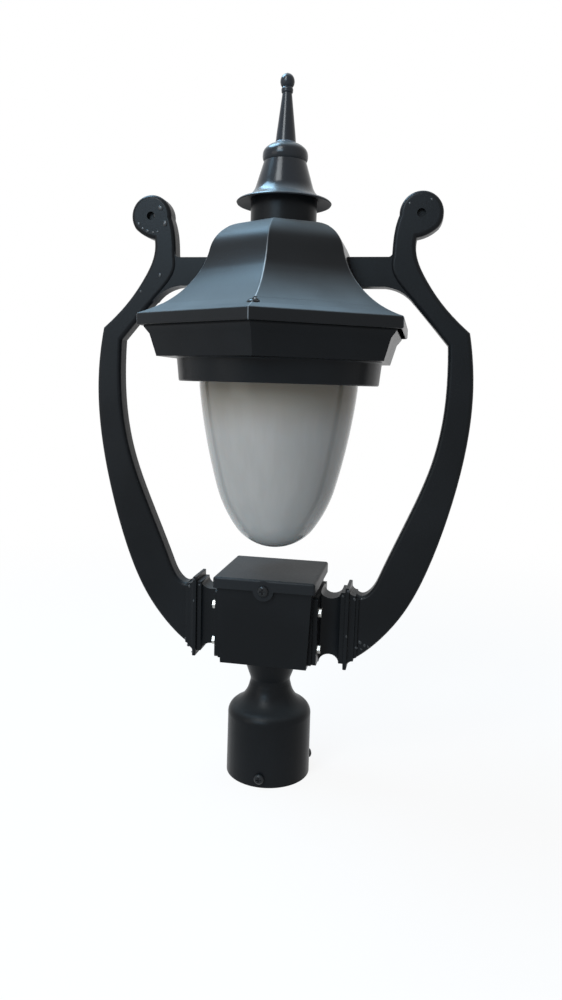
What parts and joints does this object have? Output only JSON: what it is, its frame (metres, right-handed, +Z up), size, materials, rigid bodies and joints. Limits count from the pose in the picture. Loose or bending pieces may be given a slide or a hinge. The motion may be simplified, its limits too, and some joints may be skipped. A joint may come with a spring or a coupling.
{
  "type": "post top lantern",
  "caption": "Hexagonal post top lantern with a bell-shaped roof and finial, an opal bowl between two scrolled arms, a lidded junction box and a collar that drops over a round post.",
  "frame": {"origin": "centre of the collar's mouth, at the lantern's lowest point", "axes": "+Z up along the post, X along the two arms, -Y the front with the lid screw"},
  "size_m": [0.3722, 0.279, 0.688],
  "materials": {
    "cast_black": "satin black paint over cast aluminium",
    "lid_black": "matt black paint",
    "gloss_black": "glossier black paint",
    "screw_black": "blackened steel",
    "zinc": "bright zinc",
    "rubber": "matt",
    "white_plastic": "matt",
    "brass": "satin",
    "opal": "opal acrylic with a smooth outside",
    "porcelain": "glazed",
    "aluminium_cap": "bare",
    "bulb": "frosted"
  },
  "bodies": {
    "mast": {"fitter_collar": "cast_black", "cable_nipple": "zinc", "nipple_washer_lower": "zinc", "nipple_washer_upper": "zinc", "nipple_nut_lower": "zinc", "nipple_nut_upper": "zinc", "junction_box": "cast_black", "terminal_block": "white_plastic", "terminal_screws": "brass", "terminal_fixing_screws": "zinc", "earth_screw": "brass", "left_arm": "cast_black", "right_arm": "cast_black", "foot_bolts_left": "zinc", "foot_bolts_right": "zinc", "foot_nuts": "zinc", "roof": "cast_black", "roof_screws": "screw_black", "bracket_bolts": "zinc", "bracket_washers": "zinc", "finial_neck": "cast_black", "finial_hat": "gloss_black", "finial_cushion": "gloss_black", "finial_spire": "gloss_black", "tie_rod": "zinc", "tie_rod_washer": "zinc", "tie_rod_nut": "zinc"},
    "screw_front": {"set_screw_front": "screw_black"},
    "screw_right": {"set_screw_right": "screw_black"},
    "screw_left": {"set_screw_left": "screw_black"},
    "lid": {"box_lid": "lid_black", "lid_gasket": "rubber", "lid_nut": "zinc"},
    "lid_fastener": {"lid_screw": "screw_black"},
    "gallery_set": {"gallery": "cast_black", "brim_gasket": "rubber", "bowl": "opal", "bowl_gasket": "rubber", "bowl_clamp_ring": "zinc", "clamp_ring_screws": "zinc", "lamp_bridge": "zinc", "bridge_screws": "zinc", "holder_screws": "zinc", "lampholder": "porcelain", "lampholder_shell": "brass", "lampholder_contact": "brass"},
    "lamp": {"lamp_cap": "aluminium_cap", "lamp_bulb": "bulb"}
  },
  "joints": [
    {"name": "set_screw_front_slide", "type": "slide", "parent": "mast", "child": "screw_front", "axis": [0, 1, 0], "range_m": [-0.004, 0.0013]},
    {"name": "set_screw_right_slide", "type": "slide", "parent": "mast", "child": "screw_right", "axis": [-0.866, -0.5, 0], "range_m": [-0.004, 0.0013]},
    {"name": "set_screw_left_slide", "type": "slide", "parent": "mast", "child": "screw_left", "axis": [0.866, -0.5, 0], "range_m": [-0.004, 0.0013]},
    {"name": "lid_lift", "type": "slide", "parent": "mast", "child": "lid", "axis": [0, 0, 1], "range_m": [0, 0.012]},
    {"name": "lid_screw_turn", "type": "hinge", "parent": "lid", "child": "lid_fastener", "pos_m": [0, -0.045, 0.2052], "axis": [0, 1, 0], "continuous": true},
    {"name": "gallery_drop", "type": "slide", "parent": "mast", "child": "gallery_set", "axis": [0, 0, -1], "range_m": [0, 0.011]},
    {"name": "lamp_drop", "type": "slide", "parent": "gallery_set", "child": "lamp", "axis": [0, 0, -1], "range_m": [0, 0.03]}
  ]
}
